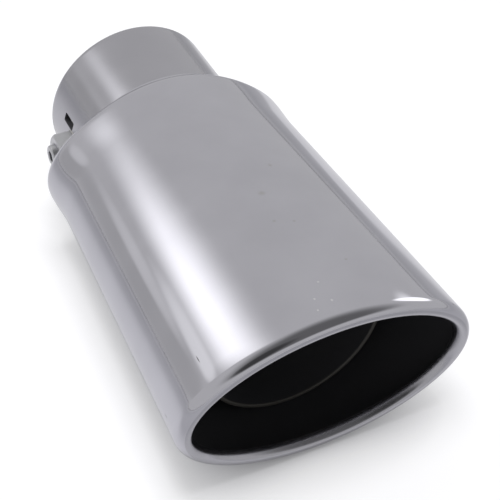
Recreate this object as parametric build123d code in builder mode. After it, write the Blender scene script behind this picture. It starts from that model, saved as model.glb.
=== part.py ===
from build123d import *

import os
from math import acos, asin, cos, degrees, pi, radians, sin

# Oval exhaust tip that slips over a round tailpipe and is held there by one set screw.
# Frame: millimetres, +Z up, +X to the right. The origin is the centre of the inlet mouth. The pipe's axis
# runs along Y, the tailpipe leaves towards +Y and the outlet faces -Y. The tip lies on its underside.

# Inlet pipe: a round tube that slips over the tailpipe and runs on inside the shell
pipe_diameter = 63.5
pipe_wall = 1.5
neck_length = 31.5
pipe_setback = 23.5
pipe_edge_chamfer = 0.6

# Shell: the polished oval sleeve, from the rear shoulder to the outlet
shell_wall = 1.0
shell_length = 127.0
pipe_room = 0.25
rear_width = 90.0
rear_slimming = 0.046
outlet_width = 102.5
outlet_rise = 1.0
outlet_slimming = 0.010
outlet_rake = 4.9
oval_steps = 24

# Rounded shoulder that closes the shell onto the pipe, with the slight swell that forming leaves at its sides
shoulder_radius = 5.0
shoulder_swell = 1.3
swell_crest = 4.0
swell_fade = 17.0
pipe_hole_gap = 0.1

# Rolled lip: a quarter turn outside, a narrow crest, and most of a quarter turn back inside to the hem
lip_reach = 4.3
lip_depth = 3.2
lip_crest = 0.2
return_reach = 5.2
return_depth = 2.45
return_turn = 70.0

# Bands that the shell's rounds, swell and body are ruled in, fewer on the hidden inside
round_steps = 6
fade_steps = 4
body_steps = 4
inner_round_steps = 3
inner_fade_steps = 2

# Slot and clamp on the left side of the neck: an M8 nut with a socket set screw in it
slot_length = 7.5
slot_width = 3.2
slot_corner = 0.6
slot_from_mouth = 15.4
slot_nut_gap = 0.2
clamp_angle = 0.0
nut_across_flats = 13.0
nut_height = 6.5
nut_corner_chamfer = 0.9
nut_seat_gap = 0.05
nut_shell_gap = 2.0
screw_diameter = 8.0
screw_length = 10.0
screw_gap = 0.1
screw_tip_gap = 0.3
screw_chamfer = 0.8
socket_across_flats = 4.0
socket_depth = 4.0

# Worked out from the sizes above
pipe_radius = pipe_diameter / 2
bore_radius = pipe_radius - pipe_wall
pipe_length = neck_length + shell_length - pipe_setback
rear_height = pipe_diameter + 2 * (shell_wall + pipe_room)
outlet_height = rear_height + outlet_rise
lip_start = shell_length - lip_reach
swell_end = swell_crest + swell_fade
nut_corner_radius = nut_across_flats / 2 / cos(pi / 6)
clamp_from_mouth = neck_length - nut_shell_gap - nut_corner_radius
slot_rise = nut_across_flats / 2 + slot_nut_gap + slot_width / 2
slot_angle = clamp_angle + degrees(asin(slot_rise / pipe_radius))


def station_plane(distance):
    """Upright plane at a distance in front of the shoulder, seen from the outlet, with Z up."""
    return Plane((0, -neck_length - distance, 0), x_dir=(1, 0, 0), z_dir=(0, -1, 0))


def raked_plane(distance, share=1):
    """Plane at a distance in front of the shoulder, its top leaning forward by a share of the outlet's rake."""
    return station_plane(distance).rotated((outlet_rake * share, 0, 0))


def swell_at(distance):
    """Swell of the shoulder at its sides: whole up to its crest, then fading out as a squared cosine."""
    fade = min(max(distance - swell_crest, 0) / swell_fade, 1)
    return shoulder_swell * cos(fade * pi / 2) ** 2


def turn_angles(first, last, steps):
    """Angles of a turn between two angles in degrees, in equal steps."""
    return [radians(first + (last - first) * step / steps) for step in range(steps + 1)]


def oval_sketch(plane, distance, growth):
    """Filled oval of the shell at a distance in front of the shoulder, one section of a loft.

    The oval at each end is an ellipse drawn in at its four diagonals by its slimming, and the ovals
    between mix the two. The swell widens it at the sides, and growth is added to both half-axes.
    """
    share = min(distance / lip_start, 1)
    points = []
    for step in range(oval_steps):
        turn = 2 * pi * step / oval_steps
        diagonal = sin(2 * turn) ** 2
        rear_reach = 1 - rear_slimming * diagonal
        outlet_reach = 1 - outlet_slimming * diagonal
        across = (1 - share) * rear_width / 2 * rear_reach + share * outlet_width / 2 * outlet_reach
        upward = (1 - share) * rear_height / 2 * rear_reach + share * outlet_height / 2 * outlet_reach
        points.append(((across + swell_at(distance) + growth) * cos(turn), (upward + growth) * sin(turn)))
    with BuildSketch(plane) as section:
        with BuildLine():
            Spline(*points, periodic=True)
        make_face()
    return section.sketch


def sleeve(inset, rounds, fades):
    """Solid that lies an inset inside the shell's outside: rounded shoulder, swell, body and the lip's outside.

    Rounds and fades are the numbers of bands in each quarter turn and in the swell's fading.
    """
    sections = []
    radius = shoulder_radius - inset
    for angle in turn_angles(0, 90, rounds):
        distance = inset + radius * (1 - cos(angle))
        growth = -inset - radius * (1 - sin(angle))
        sections.append(oval_sketch(station_plane(distance), distance, growth))
    for step in range(1, fades + 1):
        distance = shoulder_radius + (swell_end - shoulder_radius) * step / fades
        sections.append(oval_sketch(station_plane(distance), distance, -inset))
    for step in range(1, body_steps + 1):
        distance = swell_end + (lip_start - swell_end) * step / body_steps
        sections.append(oval_sketch(raked_plane(distance, step / body_steps), distance, -inset))
    for angle in turn_angles(0, 90, rounds)[1:]:
        distance = lip_start + (lip_reach - inset) * sin(angle)
        growth = -inset - (lip_depth - inset) * (1 - cos(angle))
        sections.append(oval_sketch(raked_plane(distance), distance, growth))
    with BuildPart() as blank:
        loft(sections, ruled=True)
    return blank.part


def lip_return(angles, outset, overrun):
    """Solid inside the lip's return, which turns from the crest back to the hem, moved out by an outset.

    Overrun is the straight length added in front of the crest and behind the hem, where it is a cutter.
    """
    rings = []
    for angle in angles:
        distance = shell_length - return_reach * (1 - cos(angle))
        growth = outset - lip_depth - lip_crest - return_depth * sin(angle)
        rings.append((distance, growth))
    if overrun:
        rings.insert(0, (rings[0][0] + overrun, rings[0][1]))
        rings.append((rings[-1][0] - overrun, rings[-1][1]))
    with BuildPart() as blank:
        loft([oval_sketch(raked_plane(distance), distance, growth) for distance, growth in rings], ruled=True)
    return blank.part


def side_plane(from_mouth, angle, height):
    """Plane facing outward on the pipe's left side, turned up by an angle, at a height off its axis."""
    outward = Vector(-cos(radians(angle)), 0, sin(radians(angle)))
    return Plane(Vector(0, -from_mouth, 0) + outward * height, x_dir=(0, 1, 0), z_dir=outward)


def clamp_plane(height):
    """Plane across the clamp screw, at a height off the pipe's axis."""
    return side_plane(clamp_from_mouth, clamp_angle, height)


# Outer shell: thin sleeve with a rolled lip and a round hole for the pipe in its closed rear
with BuildPart() as outer_shell:
    add(sleeve(0, round_steps, fade_steps))
    add(sleeve(shell_wall, inner_round_steps, inner_fade_steps), mode=Mode.SUBTRACT)
    hem_start = degrees(acos(1 - shell_wall / 2 / return_reach))
    add(lip_return(turn_angles(hem_start, return_turn, inner_fade_steps), shell_wall, 0))
    add(lip_return(turn_angles(0, return_turn, round_steps), 0, shell_wall), mode=Mode.SUBTRACT)
    with BuildSketch(station_plane(0)):
        Circle(pipe_radius + pipe_hole_gap)
    extrude(amount=shoulder_radius + shell_wall, mode=Mode.SUBTRACT)

# Inlet pipe: tube with a chamfered front end, a slot and the clamp screw's hole
with BuildPart() as inlet_pipe:
    with BuildSketch(Plane.XZ):
        Circle(pipe_radius)
        Circle(bore_radius, mode=Mode.SUBTRACT)
    extrude(amount=pipe_length)
    chamfer(inlet_pipe.edges().group_by(Axis.Y)[0], pipe_edge_chamfer)
    with BuildSketch(side_plane(slot_from_mouth, slot_angle, 0)):
        RectangleRounded(slot_length, slot_width, slot_corner)
    extrude(amount=pipe_diameter, mode=Mode.SUBTRACT)
    with BuildSketch(clamp_plane(0)):
        Circle(screw_diameter / 2 + screw_gap)
    extrude(amount=pipe_diameter, mode=Mode.SUBTRACT)

# Clamp nut: hexagon welded on the neck, with its foot hollowed to sit on the pipe
nut_top = pipe_radius + nut_height
with BuildPart() as clamp_nut:
    with BuildSketch(clamp_plane(bore_radius)):
        RegularPolygon(nut_across_flats / 2, 6, major_radius=False)
    extrude(amount=nut_top - bore_radius)
    with BuildSketch(clamp_plane(nut_top)):
        Circle(nut_corner_radius - nut_corner_chamfer)
    extrude(amount=-nut_top, taper=-60, mode=Mode.INTERSECT)
    with BuildSketch(clamp_plane(0)):
        Circle(screw_diameter / 2 + screw_gap)
    extrude(amount=nut_top, mode=Mode.SUBTRACT)
    with BuildSketch(Plane.XZ):
        Circle(pipe_radius + nut_seat_gap)
    extrude(amount=pipe_length, mode=Mode.SUBTRACT)

# Clamp screw: socket set screw, backed off so that the bore is clear
screw_tip = bore_radius + screw_tip_gap
screw_top = screw_tip + screw_length
with BuildPart() as clamp_screw:
    with BuildSketch(clamp_plane(screw_tip)):
        Circle(screw_diameter / 2)
    extrude(amount=screw_length)
    chamfer(clamp_screw.edges().filter_by(GeomType.CIRCLE), screw_chamfer)
    with BuildSketch(clamp_plane(screw_top)):
        RegularPolygon(socket_across_flats / 2, 6, major_radius=False)
    extrude(amount=-socket_depth, mode=Mode.SUBTRACT)

os.makedirs("parts", exist_ok=True)
outer_shell.part.label = "outer_shell"
export_step(outer_shell.part, "parts/outer_shell.step")
inlet_pipe.part.label = "inlet_pipe"
export_step(inlet_pipe.part, "parts/inlet_pipe.step")
clamp_nut.part.label = "clamp_nut"
export_step(clamp_nut.part, "parts/clamp_nut.step")
clamp_screw.part.label = "clamp_screw"
export_step(clamp_screw.part, "parts/clamp_screw.step")
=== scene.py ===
"""Exhaust tip on a pale studio floor: an oval polished sleeve with a rolled lip, the round inlet pipe inside
it, and a weld nut with a set screw on the pipe's neck.

Sizes are in millimetres and turn to metres where a mesh is made. The frame is the part's own: the origin is
the centre of the inlet mouth, the outlet faces -Y and +Z is up.
"""

import math

import bmesh
import bpy
import numpy as np
from mathutils import Matrix, Vector


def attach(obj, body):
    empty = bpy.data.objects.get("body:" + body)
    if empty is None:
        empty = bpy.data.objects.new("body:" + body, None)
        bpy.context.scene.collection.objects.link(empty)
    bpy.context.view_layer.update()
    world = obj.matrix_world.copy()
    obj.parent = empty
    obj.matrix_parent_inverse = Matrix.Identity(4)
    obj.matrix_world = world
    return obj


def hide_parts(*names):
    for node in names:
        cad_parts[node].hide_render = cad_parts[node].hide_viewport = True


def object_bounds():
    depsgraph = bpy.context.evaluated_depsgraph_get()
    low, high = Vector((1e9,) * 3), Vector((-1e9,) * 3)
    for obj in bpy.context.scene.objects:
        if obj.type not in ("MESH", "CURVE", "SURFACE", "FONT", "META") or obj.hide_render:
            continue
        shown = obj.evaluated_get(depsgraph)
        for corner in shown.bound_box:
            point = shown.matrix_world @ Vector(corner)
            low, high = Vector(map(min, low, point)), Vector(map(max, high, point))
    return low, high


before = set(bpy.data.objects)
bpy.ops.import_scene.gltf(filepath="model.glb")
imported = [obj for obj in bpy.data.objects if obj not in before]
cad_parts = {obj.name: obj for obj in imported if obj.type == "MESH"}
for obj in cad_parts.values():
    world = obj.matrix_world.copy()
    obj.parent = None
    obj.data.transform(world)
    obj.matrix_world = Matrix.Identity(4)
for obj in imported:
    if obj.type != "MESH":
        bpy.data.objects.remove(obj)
cad_low, cad_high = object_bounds()

MM = 0.001

# ---------------------------------------------------------------- sizes, in millimetres

# Inlet pipe, its rounded ends, and how far from the mouth its outside is hidden in the shell and coated
PIPE_RADIUS, BORE_RADIUS = 31.75, 30.25
NECK_LENGTH, PIPE_LENGTH = 31.5, 135.0
PIPE_EDGE, MOUTH_EDGE, MOUTH_EDGE_MIDDLE = 0.6, 0.3, 0.09
COVERED_FROM = NECK_LENGTH + 2

# Shell: half width and half height of its ovals, and how far their diagonals are drawn in
SHELL_WALL, SHELL_LENGTH, LIP_START = 1.0, 126.98, 122.68
REAR_HALF, REAR_SLIMMING = (44.99, 32.99), 0.046
OUTLET_HALF, OUTLET_SLIMMING = (51.24, 33.49), 0.010
RAKE = math.radians(4.9)
SHOULDER_RADIUS, SWELL, SWELL_CREST, SWELL_FADE = 5.0, 1.3, 4.0, 17.0
SWELL_END = SWELL_CREST + SWELL_FADE
PIPE_HOLE, SEAM = 31.85, 0.9

# Rolled lip and its return to the hem
LIP_REACH, LIP_DEPTH, LIP_CREST = 4.3, 3.2, 0.2
RETURN_REACH, RETURN_DEPTH, RETURN_TURN = 5.2, 2.45, math.radians(70)

# Slot and holes in the neck. The windows are half angle and half length of the grid that each hole takes up
CLAMP_FROM_MOUTH, SCREW_HOLE = 21.9945, 4.1
SLOT_FROM_MOUTH, SLOT_ANGLE = 15.4, math.asin(8.3 / PIPE_RADIUS)
SLOT_LENGTH, SLOT_WIDTH, SLOT_BURR, SLOT_POWER = 7.5, 3.2, 1.0, 10
CLAMP_WINDOW = (math.radians(9.6), 5.6)
SLOT_WINDOW = (math.radians(4.6), 5.2)
HOLE_EDGE, HOLE_EDGE_MIDDLE = 0.18, 0.05

# Weld nut: its heights are from the pipe's axis, its cone is where the top face meets the cut corners
NUT_FLATS, NUT_TOP, NUT_FOOT = 13.0, 38.25, 31.8
NUT_CONE, NUT_CONE_ANGLE, NUT_FACE_MIDDLE = 6.35, math.radians(60), 5.4
COUNTERSINK, NUT_HOLE_MIDDLE = 0.45, 34.5

# Welding bead at the nut's foot: thickness beside the slot and more fore and aft, and how far it is sunk
BEAD_THIN, BEAD_MORE, BEAD_REACH, BEAD_SUNK, BEAD_FLATNESS = 0.12, 1.05, 7.1, 0.05, 0.9

# Set screw
SCREW_RADIUS, SCREW_PITCH, SCREW_TIP, SCREW_LENGTH = 4.0, 1.25, 30.55, 10.0
THREAD_DEPTH, THREAD_ROOM, THREAD_END, THREAD_FADE = 0.66, 0.02, 0.9, 0.8
END_ROUND, TIP_CHAMFER, TIP_FLAT, TIP_HOLLOW = 0.9, 0.85, 2.2, 0.5
SOCKET_FLATS, SOCKET_EDGE, SOCKET_LEVELS, SOCKET_CONE = 4.0, 0.35, (0.3, 1.4, 2.6, 4.0), 0.7

# ---------------------------------------------------------------- numbers of points

# Rows along the shell's profile, outside and inside, and how many of the lip's are polished
AROUND, SEAM_ROWS, HEM_ROWS, POLISHED_LIP_ROWS = 480, 8, 11, 17
SHOULDER_ROWS, SWELL_ROWS, BODY_ROWS = (24, 12), (18, 10), (26, 8)
LIP_ROWS, RETURN_ROWS = (24, 10), (20, 8)
HALVINGS = 40

# Steps of the pipe's grid: round it in each window, between them and over the rest, and along it
WINDOW_STEPS, BETWEEN_STEPS, REST_STEPS = 32, 4, 220
PIPE_STEPS = (8, 8, 10, 10, 4, 20)
RAY_ROWS, PIPE_ROUND_ROWS, SLACK = 7, 7, 0.01

NUT_STEPS, BEAD_STEPS, BEAD_ROUND_STEPS = 144, 192, 20
SCREW_STEPS, SCREW_ROWS = 96, 120

# Points of neighbouring patches that are nearer than this become one, in metres
MERGE_DISTANCE = 2e-6

# Places of the finishes in each piece's list of materials
SHELL_POLISH, SHELL_COAT, LIP_BRUSHED = 0, 1, 2
PIPE_POLISH, PIPE_COAT_AND_HOLE_SHADE, PIPE_FRONT, PIPE_BORE = 0, 1, 2, 3
NUT_BODY, NUT_BEAD = 0, 1
SCREW_BODY = 0


# ---------------------------------------------------------------- meshes from grids of points

def grid_faces(rows, columns, close_rows):
    """Quads of a grid: each joins a point to its next in both directions, wrapping round along each row, and from
    the last row to the first where the rows are closed too.
    """
    down = np.arange(rows if close_rows else rows - 1)[:, None]
    along = np.arange(columns)[None, :]
    down_next, along_next = (down + 1) % rows, (along + 1) % columns
    corners = [down * columns + along, down * columns + along_next,
               down_next * columns + along_next, down_next * columns + along]
    return np.stack(np.broadcast_arrays(*corners), axis=-1).reshape(-1, 4)


def circle(steps):
    """Angles once round, in equal steps."""
    return np.linspace(0, 2 * np.pi, steps, endpoint=False)


def make_piece(name, node, patches, materials, sharp_degrees):
    """One mesh from patches of (points, faces, material number per face), their shared edges merged."""
    start, points, faces, numbers = 0, [], [], []
    for patch_points, patch_faces, patch_numbers in patches:
        flat = patch_points.reshape(-1, 3)
        points.append(flat)
        faces.append(patch_faces + start)
        numbers.append(np.broadcast_to(patch_numbers, len(patch_faces)))
        start += len(flat)
    mesh = bpy.data.meshes.new(name)
    mesh.from_pydata((np.concatenate(points) / 1000).tolist(), [], np.concatenate(faces).tolist())
    mesh.polygons.foreach_set("material_index", np.concatenate(numbers).astype(np.int32))
    for material in materials:
        mesh.materials.append(material)
    work = bmesh.new()
    work.from_mesh(mesh)
    bmesh.ops.remove_doubles(work, verts=work.verts, dist=MERGE_DISTANCE)
    bmesh.ops.recalc_face_normals(work, faces=work.faces)
    work.to_mesh(mesh)
    work.free()
    mesh.shade_smooth()
    mesh.set_sharp_from_angle(angle=math.radians(sharp_degrees))
    piece = bpy.data.objects.new(name, mesh)
    bpy.context.scene.collection.objects.link(piece)
    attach(piece, "root")
    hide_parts(node)


# ---------------------------------------------------------------- outer shell

def swell_at(station):
    """Swell of the shoulder at its sides: whole up to its crest, then fading out as a squared cosine."""
    fade = np.clip((station - SWELL_CREST) / SWELL_FADE, 0, 1)
    return SWELL * np.cos(fade * np.pi / 2) ** 2


def oval(turn, station, growth):
    """Across and up on the oval at a station: an ellipse drawn in at its diagonals, mixed from shoulder to outlet
    and grown on both half-axes. The swell widens it by its size times the squared cosine of the turn.
    """
    diagonal = np.sin(2 * turn) ** 2
    share = np.minimum(station / LIP_START, 1)
    rear, outlet = 1 - REAR_SLIMMING * diagonal, 1 - OUTLET_SLIMMING * diagonal
    side = swell_at(station) * np.cos(turn) ** 2
    across = (1 - share) * REAR_HALF[0] * rear + share * OUTLET_HALF[0] * outlet + side
    upward = (1 - share) * REAR_HALF[1] * rear + share * OUTLET_HALF[1] * outlet
    return (across + growth) * np.cos(turn), (upward + growth) * np.sin(turn)


def rings(turn, station, growth):
    """Ovals at stations in front of the shoulder, one row of points for each. Past the swell each leans forward
    at its top by its share of the rake, and the lip's ovals by all of it.
    """
    across, upward = oval(turn, station, growth)
    lean = RAKE * np.clip((station - SWELL_END) / (LIP_START - SWELL_END), 0, 1)
    forward = NECK_LENGTH + station + upward * np.sin(lean)
    return np.stack(np.broadcast_arrays(across, -forward, upward * np.cos(lean)), axis=-1)


def shoulder_rings(turn, inset, start, rows):
    """Rings from the pipe's hole out over the flat rear and round the quarter circle of the shoulder.

    Each row stands at an equal share of the way along that path, from a start near the hole. The path begins
    where the hole cuts it, found by halving: on the flat at the sides, and part of the way round at the top and
    bottom.
    """
    radius = SHOULDER_RADIUS - inset

    def ring(angle):
        return rings(turn, inset + radius * (1 - np.cos(angle)), -inset - radius * (1 - np.sin(angle)))

    def reach(points):
        return np.hypot(points[..., 0], points[..., 2])

    low, high = np.zeros_like(turn), np.full_like(turn, np.pi / 2)
    for _ in range(HALVINGS):
        middle = (low + high) / 2
        inside = reach(ring(middle)) < PIPE_HOLE
        low, high = np.where(inside, middle, low), np.where(inside, high, middle)
    flat_end = reach(ring(np.zeros_like(turn)))
    cut = np.where(flat_end < PIPE_HOLE, high, 0)
    flat = np.maximum(flat_end - PIPE_HOLE, 0)
    way = start + np.linspace(0, 1, rows)[:, None] * (flat + radius * (np.pi / 2 - cut) - start)
    points = ring(np.where(way < flat, 0, cut + (way - flat) / radius))
    shrink = np.where(way < flat, (PIPE_HOLE + way) / flat_end, 1)
    return points * np.stack([shrink, np.ones_like(shrink), shrink], axis=-1)


def seam_rings(turn):
    """Welded seam at the pipe's hole: a quadratic curve from the pipe by way of the hole's edge to the shell."""
    edge, shell = shoulder_rings(turn, 0, 0, 2)[:1], shoulder_rings(turn, 0, SEAM, 2)[:1]
    pipe = edge * [[[PIPE_RADIUS / PIPE_HOLE, 1, PIPE_RADIUS / PIPE_HOLE]]] + [[[0, SEAM, 0]]]
    share = np.linspace(0, 1, SEAM_ROWS)[:-1, None, None]
    return (1 - share) ** 2 * pipe + 2 * share * (1 - share) * edge + share ** 2 * shell


def shell_patches():
    """The sleeve as one closed profile carried round the oval: outside from the seam on the pipe over the shoulder
    and along the body, round the lip's quarter ellipse to its crest, back inside along the return's part of
    an ellipse, round the hem's half circle, and along the inside to the hole.
    """
    turn = circle(AROUND)[None, :]

    def body(inset, swell_rows, body_rows):
        station = np.concatenate([np.linspace(SHOULDER_RADIUS, SWELL_END, swell_rows)[1:],
                                  np.linspace(SWELL_END, LIP_START, body_rows)[1:]])[:, None]
        return rings(turn, station, -inset)

    def lip(inset, rows):
        angle = np.linspace(0, np.pi / 2, rows)[:, None]
        return rings(turn, LIP_START + (LIP_REACH - inset) * np.sin(angle),
                     -inset - (LIP_DEPTH - inset) * (1 - np.cos(angle)))

    def lip_return(first, outset, rows):
        angle = np.linspace(first, RETURN_TURN, rows)[:, None]
        return rings(turn, SHELL_LENGTH - RETURN_REACH * (1 - np.cos(angle)),
                     outset - LIP_DEPTH - LIP_CREST - RETURN_DEPTH * np.sin(angle))

    hem_radius, hem_turn = SHELL_WALL / 2, np.linspace(0, np.pi, HEM_ROWS)[1:-1, None]
    hem_station = SHELL_LENGTH - RETURN_REACH * (1 - math.cos(RETURN_TURN))
    hem_growth = hem_radius - LIP_DEPTH - LIP_CREST - RETURN_DEPTH * math.sin(RETURN_TURN)
    hem = rings(turn, hem_station - hem_radius * np.sin(hem_turn), hem_growth - hem_radius * np.cos(hem_turn))
    fold = math.acos(1 - SHELL_WALL / RETURN_REACH)
    outer_lip = lip(0, LIP_ROWS[0])[1:]
    polished = np.concatenate([seam_rings(turn), shoulder_rings(turn, 0, SEAM, SHOULDER_ROWS[0]),
                               body(0, SWELL_ROWS[0], BODY_ROWS[0]), outer_lip[:POLISHED_LIP_ROWS]])
    brushed = np.concatenate([outer_lip[POLISHED_LIP_ROWS:], lip_return(0, 0, RETURN_ROWS[0])])
    coated = np.concatenate([hem, lip_return(fold, SHELL_WALL, RETURN_ROWS[1])[::-1],
                             lip(SHELL_WALL, LIP_ROWS[1])[::-1],
                             body(SHELL_WALL, SWELL_ROWS[1], BODY_ROWS[1])[-2::-1],
                             shoulder_rings(turn, SHELL_WALL, 0, SHOULDER_ROWS[1])[::-1]])
    points = np.concatenate([polished, brushed, coated])
    bands = np.array([len(polished), len(brushed) - 1, len(coated) + 1])
    numbers = np.repeat([SHELL_POLISH, LIP_BRUSHED, SHELL_COAT], bands * AROUND)
    return [(points, grid_faces(len(points), AROUND, True), numbers)]


# ---------------------------------------------------------------- inlet pipe

def on_pipe(angle, from_mouth, radius):
    """Points on a cylinder round the pipe's axis: the angle starts at the left side and goes up over the top."""
    angle, from_mouth, radius = np.broadcast_arrays(angle, from_mouth, radius)
    return np.stack([-radius * np.cos(angle), -from_mouth, radius * np.sin(angle)], axis=-1)


def spread(knots, steps):
    """Values from each knot up to the next in its number of equal steps, without the last knot."""
    return np.concatenate([np.linspace(first, last, count, endpoint=False)
                           for first, last, count in zip(knots[:-1], knots[1:], steps)])


def window_loop(angles, ways):
    """The outline of a window in the pipe's grid, once round, as angle and distance from the mouth."""
    ones_a, ones_w = np.ones(len(angles) - 1), np.ones(len(ways) - 1)
    loop_angle = np.concatenate([angles[:-1], angles[-1] * ones_w, angles[:0:-1], angles[0] * ones_w])
    loop_way = np.concatenate([ways[0] * ones_a, ways[:-1], ways[-1] * ones_a, ways[:0:-1]])
    return loop_angle, loop_way


def hole_patch(angles, ways, angle, from_mouth, half_side, half_way, power, burr):
    """Fills a window in the pipe's grid round a hole whose outline is a superellipse of a power. Rays run in over
    the outside to the outline, round its edge, through the wall, and back to the window over the bore. A burr
    turns the inner edge inward.
    """
    loop_angle, loop_way = window_loop(angles, ways)
    side, way = (loop_angle - angle) * PIPE_RADIUS, loop_way - from_mouth
    bearing = np.arctan2(way, side)
    reach = (np.abs(np.cos(bearing) / half_side) ** power
             + np.abs(np.sin(bearing) / half_way) ** power) ** (-1 / power)
    edge = HOLE_EDGE / reach
    share = np.linspace(0, 1, RAY_ROWS)[:, None]
    # Through the wall: how many edges each row stands outside the outline, and its radius
    stand_off, wall_radius = np.array([(0.3, PIPE_RADIUS - HOLE_EDGE_MIDDLE), (0, PIPE_RADIUS - HOLE_EDGE),
                                       (0, BORE_RADIUS - burr), (1.5, BORE_RADIUS - burr)]).T
    bore_stand_off = 4
    spots = []
    for window, outline in ((side, reach * np.cos(bearing)), (way, reach * np.sin(bearing))):
        inward = window + (outline * (1 + edge) - window) * share
        outward = window + (outline * (1 + bore_stand_off * edge) - window) * share[::-1]
        spots.append(np.concatenate([inward, outline * (1 + edge * stand_off[:, None]), outward]))
    radius = np.concatenate([np.full(RAY_ROWS, PIPE_RADIUS), wall_radius, np.full(RAY_ROWS, BORE_RADIUS)])
    points = on_pipe(angle + spots[0] / PIPE_RADIUS, from_mouth + spots[1], radius[:, None])
    faces = grid_faces(*points.shape[:2], False)
    # The hole's wall and the bore round it take the black coat as painted shade, which keeps the hole dark
    outside = faces[:, 0] // points.shape[1] < RAY_ROWS
    return points, faces, np.where(outside, PIPE_POLISH, PIPE_COAT_AND_HOLE_SHADE)


def pipe_patches():
    """A round tube: two cylinder walls on one grid, ends rounded by quarter circles, and two windows in the grid
    that are filled round the screw's hole, a circle, and the slot, a superellipse.
    """
    clamp_half, clamp_way = CLAMP_WINDOW
    slot_half, slot_way = SLOT_WINDOW
    angles = spread([-clamp_half, clamp_half, SLOT_ANGLE - slot_half, SLOT_ANGLE + slot_half,
                     2 * np.pi - clamp_half], (WINDOW_STEPS, BETWEEN_STEPS, WINDOW_STEPS, REST_STEPS))
    slot_low, slot_high = SLOT_FROM_MOUTH - slot_way, SLOT_FROM_MOUTH + slot_way
    clamp_low, clamp_high = CLAMP_FROM_MOUTH - clamp_way, CLAMP_FROM_MOUTH + clamp_way
    front_edge = PIPE_LENGTH - PIPE_EDGE
    ways = spread([MOUTH_EDGE, slot_low, clamp_low, slot_high, clamp_high, COVERED_FROM, front_edge], PIPE_STEPS)
    ways = np.append(ways, front_edge)

    count, faces = len(angles), grid_faces(len(ways), len(angles), False)
    row, column = np.divmod(faces[:, 0], count)
    keep, holes = np.full(len(faces), True), []
    for first, low, high, *outline in (
            (0, clamp_low, clamp_high, 0.0, CLAMP_FROM_MOUTH, SCREW_HOLE, SCREW_HOLE, 2, 0),
            (WINDOW_STEPS + BETWEEN_STEPS, slot_low, slot_high, SLOT_ANGLE, SLOT_FROM_MOUTH,
             SLOT_WIDTH / 2, SLOT_LENGTH / 2, SLOT_POWER, SLOT_BURR)):
        last = first + WINDOW_STEPS
        row_low, row_high = np.searchsorted(ways, [low - SLACK, high - SLACK])
        keep &= (column < first) | (column >= last) | (row < row_low) | (row >= row_high)
        holes.append(hole_patch(angles[first:last + 1], ways[row_low:row_high + 1], *outline))
    outside = np.where(ways[row] > COVERED_FROM - SLACK, PIPE_COAT_AND_HOLE_SHADE, PIPE_POLISH)

    quarter = np.linspace(0, np.pi / 2, PIPE_ROUND_ROWS)[:, None]
    front_radius = np.concatenate([PIPE_RADIUS - PIPE_EDGE + PIPE_EDGE * np.cos(quarter),
                                   BORE_RADIUS + PIPE_EDGE - PIPE_EDGE * np.sin(quarter)])
    front_way = front_edge + PIPE_EDGE * np.concatenate([np.sin(quarter), np.cos(quarter)])
    front = on_pipe(angles, front_way, front_radius)
    rear_way, rear_radius = np.array([(MOUTH_EDGE, PIPE_RADIUS),
                                      (MOUTH_EDGE_MIDDLE, PIPE_RADIUS - MOUTH_EDGE_MIDDLE),
                                      (0, PIPE_RADIUS - MOUTH_EDGE), (0, BORE_RADIUS),
                                      (MOUTH_EDGE, BORE_RADIUS)]).T
    rear = on_pipe(angles, rear_way[:, None], rear_radius[:, None])
    return [(on_pipe(angles, ways[:, None], PIPE_RADIUS), faces[keep], outside[keep]),
            (on_pipe(angles, ways[:, None], BORE_RADIUS), faces[keep], PIPE_BORE),
            (front, grid_faces(len(front), count, False), PIPE_FRONT),
            (rear, grid_faces(len(rear), count, False), PIPE_POLISH), *holes]


# ---------------------------------------------------------------- clamp nut and screw

def on_clamp(angle, radius, height):
    """Points round the clamp screw's axis, which stands out of the pipe's left side at the given heights."""
    angle, radius, height = np.broadcast_arrays(angle, radius, height)
    return np.stack([-height, -CLAMP_FROM_MOUTH + radius * np.cos(angle), radius * np.sin(angle)], axis=-1)


def hexagon(angle, flats):
    """Radius of a hexagon at an angle: half the width across flats over the cosine of the angle off the flat."""
    return flats / 2 / np.cos(np.mod(angle, np.pi / 3) - np.pi / 6)


def saddle(angle, radius):
    """Height of the pipe's outside, just clear of it, under a point round the clamp's axis."""
    return np.sqrt(NUT_FOOT ** 2 - (radius * np.sin(angle)) ** 2)


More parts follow.
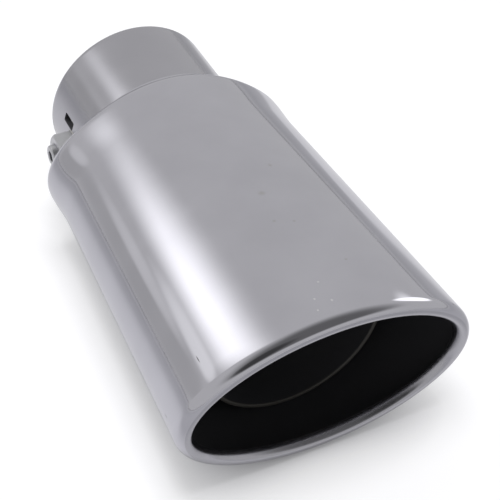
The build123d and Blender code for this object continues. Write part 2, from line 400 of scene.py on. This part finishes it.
def nut_patches():
    """Hexagon nut as one closed profile carried round: foot on the pipe, flats, the cone that cuts the top
    corners, top face, countersink and hole. A welding bead runs round the foot as a rippled ring that is
    thick fore and aft and thin beside the slot: its thickness grows with a power of the turn's cosine, and
    two sines of the turn ripple it.
    """
    angle = circle(NUT_STEPS)[None, :]
    flats = hexagon(angle, NUT_FLATS)
    foot = saddle(angle, flats)
    cone_drop = (flats - NUT_CONE) / math.tan(NUT_CONE_ANGLE)
    rows = [(SCREW_HOLE, saddle(angle, SCREW_HOLE)), (flats, foot)]
    rows += [(flats, foot + (NUT_TOP - cone_drop - foot) * share) for share in (0.25, 0.5, 0.75, 1.0)]
    rows += [(NUT_CONE + (flats - NUT_CONE) * share, NUT_TOP - cone_drop * share) for share in (0.66, 0.33)]
    rows += [(NUT_CONE, NUT_TOP), (NUT_FACE_MIDDLE, NUT_TOP), (SCREW_HOLE + COUNTERSINK, NUT_TOP),
             (SCREW_HOLE, NUT_TOP - COUNTERSINK), (SCREW_HOLE, NUT_HOLE_MIDDLE)]
    body = np.concatenate([on_clamp(angle, radius, height) for radius, height in rows])

    turn, around = circle(BEAD_STEPS)[None, :], circle(BEAD_ROUND_STEPS)[:, None]
    thick = BEAD_THIN + BEAD_MORE * np.abs(np.cos(turn)) ** 1.6
    thick = thick * (1 + 0.06 * np.sin(21 * turn) + 0.04 * np.sin(13 * turn + 1))
    radius = np.minimum(hexagon(turn, NUT_FLATS), BEAD_REACH) + thick * np.cos(around)
    bead = on_clamp(turn, radius, saddle(turn, radius) - BEAD_SUNK + BEAD_FLATNESS * thick * np.sin(around))
    return [(body, grid_faces(len(rows), NUT_STEPS, True), NUT_BODY),
            (bead, grid_faces(BEAD_ROUND_STEPS, BEAD_STEPS, True), NUT_BEAD)]


def screw_patches():
    """Set screw: a thread whose radius rises and falls with height less the turn's share of the pitch, fading
    out to a plain round end above the nut, and a hexagon socket with a cone at its floor.
    """
    angle = circle(SCREW_STEPS)[None, :]
    height = np.linspace(0, SCREW_LENGTH, SCREW_ROWS)[:, None]
    phase = np.mod(height / SCREW_PITCH - angle / (2 * np.pi), 1)
    # Flat crests and roots, with straight flanks between them
    groove = np.clip(np.abs(phase - 0.5) * 2.6 - 0.3, 0, 1)
    plain = np.clip((height + SCREW_TIP - NUT_TOP + THREAD_END) / THREAD_FADE, 0, 1)
    thread = SCREW_RADIUS - THREAD_ROOM - THREAD_DEPTH * groove * (1 - plain)
    past = np.clip(height - SCREW_LENGTH + END_ROUND, 0, END_ROUND)
    rounding = END_ROUND - np.sqrt(END_ROUND ** 2 - past ** 2)
    chamfer = height + SCREW_RADIUS - TIP_CHAMFER
    wall = on_clamp(angle, np.minimum(thread - rounding, chamfer), SCREW_TIP + height)
    socket, top = hexagon(angle, SOCKET_FLATS), SCREW_TIP + SCREW_LENGTH
    tip = [(0.0, SCREW_TIP + TIP_HOLLOW), (TIP_FLAT, SCREW_TIP)]
    mouth = [(socket + SOCKET_EDGE, top), *((socket, top - level) for level in SOCKET_LEVELS),
             (0.0, top - SOCKET_LEVELS[-1] - SOCKET_CONE)]
    points = np.concatenate([*(on_clamp(angle, radius, level) for radius, level in tip), wall,
                             *(on_clamp(angle, radius, level) for radius, level in mouth)])
    return [(points, grid_faces(len(points), SCREW_STEPS, False), SCREW_BODY)]


# ---------------------------------------------------------------- materials

def linear(colour):
    """Linear colour of an sRGB hex value, with full alpha."""
    share = np.array([int(colour[i:i + 2], 16) for i in (1, 3, 5)]) / 255
    return (*np.where(share <= 0.04045, share / 12.92, ((share + 0.055) / 1.055) ** 2.4), 1.0)


def add(tree, kind, inputs=(), **settings):
    """Adds a node, sets its settings, and sets or links each input named or numbered in inputs."""
    made = tree.nodes.new(kind)
    for setting, value in settings.items():
        setattr(made, setting, value)
    for key, value in dict(inputs).items():
        if isinstance(value, bpy.types.NodeSocket):
            tree.links.new(value, made.inputs[key])
        else:
            made.inputs[key].default_value = value
    return made


def start_material(name):
    """An empty node material with its output and Object coordinates."""
    material = bpy.data.materials.new(name)
    material.use_nodes = True
    tree = material.node_tree
    tree.nodes.clear()
    out = add(tree, "ShaderNodeOutputMaterial")
    place = add(tree, "ShaderNodeTexCoord").outputs["Object"]
    return material, tree, out, place


def marks(tree, place, spots):
    """Marks at places in millimetres: 1 at each centre, fading to 0 at its radius, drawn out along the part."""
    total = 0.0
    for spot, radius, length in spots:
        offset = add(tree, "ShaderNodeVectorMath", {0: place, 1: [way * MM for way in spot]},
                     operation="SUBTRACT").outputs[0]
        offset = add(tree, "ShaderNodeVectorMath", {0: offset, 1: (1, 2 * radius / length, 1)},
                     operation="MULTIPLY").outputs[0]
        away = add(tree, "ShaderNodeVectorMath", {0: offset}, operation="LENGTH").outputs["Value"]
        mark = add(tree, "ShaderNodeMapRange", {0: away, 1: radius * MM, 2: 0.0},
                   interpolation_type="SMOOTHSTEP").outputs[0]
        total = add(tree, "ShaderNodeMath", {0: total, 1: mark}, operation="MAXIMUM").outputs[0]
    return total


def polished_stainless(name, tones, roughest, worn):
    """Polished stainless steel: reflects the studio sharply, a little soft from the polishing mop in clouds of
    22 mm, with faint mop lines along it, and the marks of use given as places, strength, colour and roughness.
    """
    material, tree, out, place = start_material(name)
    cloud = add(tree, "ShaderNodeTexNoise", {"Vector": place, "Scale": 1 / (22 * MM), "Detail": 3.0}).outputs[0]
    dull = add(tree, "ShaderNodeMapRange",
               {0: cloud, 1: 0.45, 2: 0.75, 3: roughest - 0.05, 4: roughest}).outputs[0]
    # Mop lines, drawn coarser than they are so that they show
    drawn = add(tree, "ShaderNodeMapping",
                {"Vector": place, "Scale": (1 / (1.6 * MM), 1 / (40 * MM), 1 / (1.6 * MM))}).outputs[0]
    mop = add(tree, "ShaderNodeTexNoise", {"Vector": drawn, "Scale": 1.0, "Detail": 3.0}).outputs[0]
    bump = add(tree, "ShaderNodeBump", {"Strength": 0.06, "Distance": 0.05 * MM, "Height": mop}).outputs[0]
    shade = add(tree, "ShaderNodeMapRange", {0: cloud, 1: 0.3, 2: 0.7}).outputs[0]
    colour = add(tree, "ShaderNodeMix", {0: shade, 6: linear(tones[0]), 7: linear(tones[1])},
                 data_type="RGBA").outputs[2]
    for spots, strength, tone, roughness in worn:
        share = add(tree, "ShaderNodeMath", {0: marks(tree, place, spots), 1: strength},
                    operation="MULTIPLY").outputs[0]
        colour = add(tree, "ShaderNodeMix", {0: share, 6: colour, 7: linear(tone)}, data_type="RGBA").outputs[2]
        dull = add(tree, "ShaderNodeMix", {0: share, 2: dull, 3: roughness}, data_type="FLOAT").outputs[0]
    shader = add(tree, "ShaderNodeBsdfPrincipled",
                 {"Base Color": colour, "Metallic": 1.0, "Roughness": dull, "Normal": bump})
    tree.links.new(shader.outputs[0], out.inputs[0])
    return material


def sprayed_black(tree, place, colour):
    """Shader of a sprayed heat-proof black: matt, with a fine pebbled grain. At 0.6 mm it is drawn a little coarser
    than it is, so that it shows.
    """
    grain = add(tree, "ShaderNodeTexNoise",
                {"Vector": place, "Scale": 1 / (0.6 * MM), "Detail": 2.0}).outputs[0]
    bump = add(tree, "ShaderNodeBump", {"Strength": 0.25, "Distance": 0.1 * MM, "Height": grain}).outputs[0]
    return add(tree, "ShaderNodeBsdfPrincipled",
               {"Base Color": linear(colour), "Roughness": 0.5, "Normal": bump}).outputs[0]


def black_coat(name, colour):
    """Coat of sprayed black: swallows the light inside the tip. In the lighter, browner colour given on the pipe's
    front rim, it is a painted highlight of the light that rim catches.
    """
    material, tree, out, place = start_material(name)
    tree.links.new(sprayed_black(tree, place, colour), out.inputs[0])
    return material


def sprayed_bore(name, colour):
    """Drawn steel tube, dull and bare at its mouth with draw lines along it, coarser than they are so that they
    show, under a black spray that thins out towards the mouth in a ragged edge with specks of 4 mm and less.
    """
    material, tree, out, place = start_material(name)
    draw = add(tree, "ShaderNodeMapping",
               {"Vector": place, "Scale": (1 / (0.8 * MM), 1 / (30 * MM), 1 / (0.8 * MM))}).outputs[0]
    lines = add(tree, "ShaderNodeTexNoise", {"Vector": draw, "Scale": 1.0, "Detail": 3.0}).outputs[0]
    dull = add(tree, "ShaderNodeMapRange", {0: lines, 3: 0.3, 4: 0.5}).outputs[0]
    bare = add(tree, "ShaderNodeBsdfPrincipled",
               {"Base Color": linear("#B6B4B2"), "Metallic": 1.0, "Roughness": dull}).outputs[0]
    black = sprayed_black(tree, place, colour)
    depth = add(tree, "ShaderNodeSeparateXYZ", {0: place}).outputs[1]
    speckle = add(tree, "ShaderNodeTexNoise",
                  {"Vector": place, "Scale": 1 / (4 * MM), "Detail": 6.0}).outputs[0]
    depth = add(tree, "ShaderNodeMath", {0: speckle, 1: -30 * MM, 2: depth}, operation="MULTIPLY_ADD").outputs[0]
    share = add(tree, "ShaderNodeMapRange", {0: depth, 1: -28 * MM, 2: -52 * MM},
                interpolation_type="SMOOTHSTEP").outputs[0]
    both = add(tree, "ShaderNodeMixShader", {0: share, 1: bare, 2: black})
    tree.links.new(both.outputs[0], out.inputs[0])
    return material


def plain_stainless(name, colour, roughness):
    """Brushed, turned, pressed or welded stainless steel: a soft sheen broken by a fine grain. At 1.2 mm it is
    drawn coarser than it is, so that it shows.
    """
    material, tree, out, place = start_material(name)
    grain = add(tree, "ShaderNodeTexNoise",
                {"Vector": place, "Scale": 1 / (1.2 * MM), "Detail": 4.0}).outputs[0]
    dull = add(tree, "ShaderNodeMapRange", {0: grain, 3: roughness - 0.08, 4: roughness + 0.1}).outputs[0]
    shader = add(tree, "ShaderNodeBsdfPrincipled",
                 {"Base Color": linear(colour), "Metallic": 1.0, "Roughness": dull})
    tree.links.new(shader.outputs[0], out.inputs[0])
    return material


# Marks on the shell: place, radius and length, in millimetres
SMUDGES = (((1.9, -102.1, 33.2), 2.0, 3.2), ((11.4, -89.6, 32.0), 1.2, 2.4), ((-0.5, -115.3, 33.3), 0.9, 1.6),
           ((5.4, -117.4, 33.1), 0.8, 1.4), ((12.4, -137.7, 32.2), 0.8, 1.4))
SPECKS = (((-0.8, -143.9, 33.3), 0.45, 0.9), ((-5.1, -149.5, 33.2), 0.45, 1.2),
          ((-0.7, -152.0, 33.4), 0.55, 1.3), ((-6.3, -153.8, 33.1), 0.45, 1.0))
SCRATCHES = (((-40.4, -146.6, 19.6), 0.26, 4.0), ((-50.9, -148.8, 1.3), 0.3, 2.6),
             ((41.2, -156.6, 19.2), 0.5, 1.2))
WORN = ((SMUDGES, 0.5, "#BAB8B4", 0.2), (SPECKS, 0.75, "#FFFFFF", 0.3), (SCRATCHES, 0.9, "#5A5853", 0.3))
BLACK = "#3A3A3D"

shell_steel = polished_stainless("mirror-polished stainless sheet", ("#CDCCD3", "#D3D2D9"), 0.11, WORN)
tube_steel = polished_stainless("satin-polished stainless tube", ("#C0BFC5", "#C5C4CA"), 0.2, ())
# The rim's lighter, browner black is a painted highlight of the light caught on the pipe's front edge
coat, rim_highlight_coat = black_coat("heat-proof black coat", BLACK), black_coat("black coat lightened as painted rim highlight", "#4A4844")
bore_steel = sprayed_bore("drawn tube with black overspray", BLACK)
lip_steel = plain_stainless("brushed stainless lip", "#BEBDC3", 0.2)
nut_steel = plain_stainless("pressed stainless steel", "#DADADD", 0.4)
weld_steel = plain_stainless("stainless welding bead", "#CFCDCA", 0.4)
screw_steel = plain_stainless("turned stainless steel", "#D4D4D7", 0.35)

make_piece("polished_shell", "outer_shell", shell_patches(), [shell_steel, coat, lip_steel], 40)
make_piece("round_pipe", "inlet_pipe", pipe_patches(),
           [tube_steel, coat, rim_highlight_coat, bore_steel], 40)
make_piece("weld_nut", "clamp_nut", nut_patches(), [nut_steel, weld_steel], 25)
make_piece("set_screw", "clamp_screw", screw_patches(), [screw_steel], 35)


# ---------------------------------------------------------------- floor, in metres

scene = bpy.context.scene
scene.view_settings.view_transform = "Standard"

FLOOR_HALF, FLOOR_GAP = 4, 0.00005
NEAR, FAR = 0.4, 1.2
LIFT, FAR_LIFT, MIRRORED_LIFT = 0.54, 0.17, 0.24
CONTACT_GAP = 0.016
# Edges of the mirrored sheet: its way out from the origin, and where it is still whole and where it has ended
SHEET_EDGES = (((0.820, -0.572, 0), 0.145, 0.185), ((-0.395, -0.918, 0), 0.160, 0.205),
               ((-0.950, 0.317, 0), 0.030, 0.250), ((0.353, 0.935, 0), 0.118, 0.165))

floor_level = cad_low[2] - FLOOR_GAP
floor_mesh = bpy.data.meshes.new("sweep")
floor_mesh.from_pydata([(across * FLOOR_HALF, along * FLOOR_HALF, floor_level)
                        for across, along in ((-1, -1), (1, -1), (1, 1), (-1, 1))], [], [(0, 1, 2, 3)])
floor = bpy.data.objects.new("sweep", floor_mesh)
scene.collection.objects.link(floor)

material, tree, out, place = start_material("white paper sweep")
# Matt paper, grey near the object and paler far off, lifted to white for the eye. The lift fades to the studio's
# grey far off
away = add(tree, "ShaderNodeVectorMath", {0: place}, operation="LENGTH").outputs["Value"]
far = add(tree, "ShaderNodeMapRange", {0: away, 1: NEAR, 2: FAR}, interpolation_type="SMOOTHSTEP").outputs[0]
colour = add(tree, "ShaderNodeMix", {0: far, 6: linear("#C0C0C3"), 7: linear("#F2F2F4")},
             data_type="RGBA").outputs[2]
paper = add(tree, "ShaderNodeBsdfDiffuse", {"Color": colour}).outputs[0]
white = add(tree, "ShaderNodeMapRange", {0: far, 3: LIFT, 4: FAR_LIFT}).outputs[0]
# Polished steel mirrors less of that lift, from a sheet under the object that ends at four soft edges
sheet = MIRRORED_LIFT
for way, whole, ended in SHEET_EDGES:
    reach = add(tree, "ShaderNodeVectorMath", {0: place, 1: way}, operation="DOT_PRODUCT").outputs["Value"]
    edge = add(tree, "ShaderNodeMapRange", {0: reach, 1: ended, 2: whole},
               interpolation_type="SMOOTHSTEP").outputs[0]
    sheet = add(tree, "ShaderNodeMath", {0: sheet, 1: edge}, operation="MULTIPLY").outputs[0]
seen = add(tree, "ShaderNodeLightPath").outputs
eye = add(tree, "ShaderNodeMath", {0: seen["Is Camera Ray"], 1: seen["Is Transmission Ray"]},
          operation="MAXIMUM").outputs[0]
strength = add(tree, "ShaderNodeMath", {0: seen["Is Glossy Ray"], 1: sheet}, operation="MULTIPLY").outputs[0]
strength = add(tree, "ShaderNodeMath", {0: eye, 1: white, 2: strength}, operation="MULTIPLY_ADD").outputs[0]
# The lift dies away in the narrow gap under the object, so that its contact shadow stays
open_sky = add(tree, "ShaderNodeAmbientOcclusion", {"Distance": CONTACT_GAP}).outputs["AO"]
strength = add(tree, "ShaderNodeMath", {0: strength, 1: open_sky}, operation="MULTIPLY").outputs[0]
lift = add(tree, "ShaderNodeEmission", {"Color": (1, 1, 1, 1), "Strength": strength}).outputs[0]
lifted = add(tree, "ShaderNodeAddShader", {0: paper, 1: lift})
tree.links.new(lifted.outputs[0], out.inputs[0])
floor_mesh.materials.append(material)


# ---------------------------------------------------------------- studio round the object

world = bpy.data.worlds.new("studio")
scene.world = world
world.use_nodes = True
tree = world.node_tree
tree.nodes.clear()
heading = add(tree, "ShaderNodeTexCoord").outputs["Generated"]


def direction(azimuth, elevation):
    """Way to a heading in degrees: the azimuth goes round from in front of the outlet towards +X."""
    azimuth, elevation = math.radians(azimuth), math.radians(elevation)
    return np.array([math.sin(azimuth) * math.cos(elevation), -math.cos(azimuth) * math.cos(elevation),
                     math.sin(elevation)])


def patch_of_sky(azimuth, elevation, inner, outer):
    """Round soft patch of the studio round a heading: 1 within the inner angle, fading to 0 at the outer."""
    near = add(tree, "ShaderNodeVectorMath", {0: heading, 1: direction(azimuth, elevation)},
               operation="DOT_PRODUCT").outputs["Value"]
    limits = {1: math.cos(math.radians(outer)), 2: math.cos(math.radians(inner))}
    return add(tree, "ShaderNodeMapRange", {0: near, **limits}, interpolation_type="SMOOTHSTEP").outputs[0]


def panel_of_light(first, second, rise, fall, side):
    """Long soft panel across two headings. Rise and fall are the angles from their middle, along the great circle
    through them, between which it comes up and dies away, and side the angle off that circle where it ends.
    """
    ends = direction(*first), direction(*second)
    wide = np.cross(*ends)
    wide /= np.linalg.norm(wide)
    middle = (ends[0] + ends[1]) / np.linalg.norm(ends[0] + ends[1])
    off = add(tree, "ShaderNodeVectorMath", {0: heading, 1: wide}, operation="DOT_PRODUCT").outputs["Value"]
    off = add(tree, "ShaderNodeMath", {0: off}, operation="ABSOLUTE").outputs[0]
    length = add(tree, "ShaderNodeVectorMath", {0: heading, 1: np.cross(wide, middle)},
                 operation="DOT_PRODUCT").outputs["Value"]
    # Only the half of the great circle that the panel is on
    share = patch_of_sky(*first, 60, 80)
    for way, (start, end) in ((off, (side, 0)), (length, rise), (length, fall)):
        limits = {1: math.sin(math.radians(start)), 2: math.sin(math.radians(end))}
        step = add(tree, "ShaderNodeMapRange", {0: way, **limits}, interpolation_type="SMOOTHSTEP").outputs[0]
        share = add(tree, "ShaderNodeMath", {0: share, 1: step}, operation="MULTIPLY").outputs[0]
    return share


# Even grey, dark overhead in front and darkest above the camera. Behind on the left a long softbox stands over
# two small ones, with a darker gap under them, and behind on the right is one more
STUDIO_GREY = 0.57
up = add(tree, "ShaderNodeSeparateXYZ", {0: heading}).outputs[2]
front_up = add(tree, "ShaderNodeMapRange", {0: up, 1: 0.4, 2: 0.65}, interpolation_type="SMOOTHSTEP").outputs[0]
dark_front = add(tree, "ShaderNodeMath", {0: patch_of_sky(10, 60, 25, 65), 1: front_up},
                 operation="MULTIPLY").outputs[0]
long_softbox = panel_of_light((-147.7, 40.6), (-165.4, 61), (-30, -15.4), (12.1, -13.9), 11)
level = STUDIO_GREY
for share, brightness in ((dark_front, 0.15), (patch_of_sky(-36, 53, 10, 24), 0.06),
                          (patch_of_sky(-133, 9, 5, 12), 0.47), (patch_of_sky(-134.5, 25, 1.5, 6), 0.95),
                          (patch_of_sky(-137.5, 16.5, 1, 5), 0.7), (long_softbox, 1.7),
                          (patch_of_sky(113, 20, 8, 13), 1.8)):
    level = add(tree, "ShaderNodeMix", {0: share, 2: level, 3: brightness}, data_type="FLOAT").outputs[0]
background = add(tree, "ShaderNodeBackground", {"Color": (1, 1, 1, 1), "Strength": level})
tree.links.new(background.outputs[0], add(tree, "ShaderNodeOutputWorld").inputs[0])

# Soft lamp nearly overhead, which lays the object's shadow and isn't mirrored itself. Its place is in metres
LAMP_PLACE, LAMP_AIM = (-0.07, -0.14, 1.0), (0.04, -0.02, floor_level)
lamp = bpy.data.lights.new("key lamp", "SPOT")
lamp.energy, lamp.shadow_soft_size = 26, 0.24
lamp.spot_size, lamp.spot_blend = math.radians(130), 0.3
key = bpy.data.objects.new("key lamp", lamp)
key.location = LAMP_PLACE
key.rotation_euler = (Vector(LAMP_AIM) - key.location).to_track_quat("-Z", "Y").to_euler()
key.visible_glossy = False
scene.collection.objects.link(key)


# ---------------------------------------------------------------- camera, from the fit to the photograph

# Heading and roll in degrees, a point on the axis and the distance from it in metres, and framing in pixels
CAMERA_HEADING, CAMERA_ROLL = (-28.677, 42.747), math.radians(4.268)
CAMERA_AIM, CAMERA_DISTANCE = (0, -0.082771, 0), 0.43690
PICTURE, FOCAL_LENGTH, SHIFT = 500, 1276, (26.045, -16.803)
SENSOR = 36

back = direction(*CAMERA_HEADING)
side = np.cross(-back, [0, 0, 1])
side /= np.linalg.norm(side)
top = np.cross(side, -back)
cos_roll, sin_roll = math.cos(CAMERA_ROLL), math.sin(CAMERA_ROLL)
side, top = side * cos_roll + top * sin_roll, top * cos_roll - side * sin_roll
camera_data = bpy.data.cameras.new("camera")
camera_data.sensor_width, camera_data.lens = SENSOR, SENSOR * FOCAL_LENGTH / PICTURE
camera_data.shift_x, camera_data.shift_y = SHIFT[0] / PICTURE, SHIFT[1] / PICTURE
camera_data.clip_start = 0.01
camera = bpy.data.objects.new("camera", camera_data)
turned = Matrix(np.stack([side, top, back], axis=1).tolist()).to_4x4()
camera.matrix_world = Matrix.Translation(np.array(CAMERA_AIM) + back * CAMERA_DISTANCE) @ turned
scene.collection.objects.link(camera)
scene.camera = camera
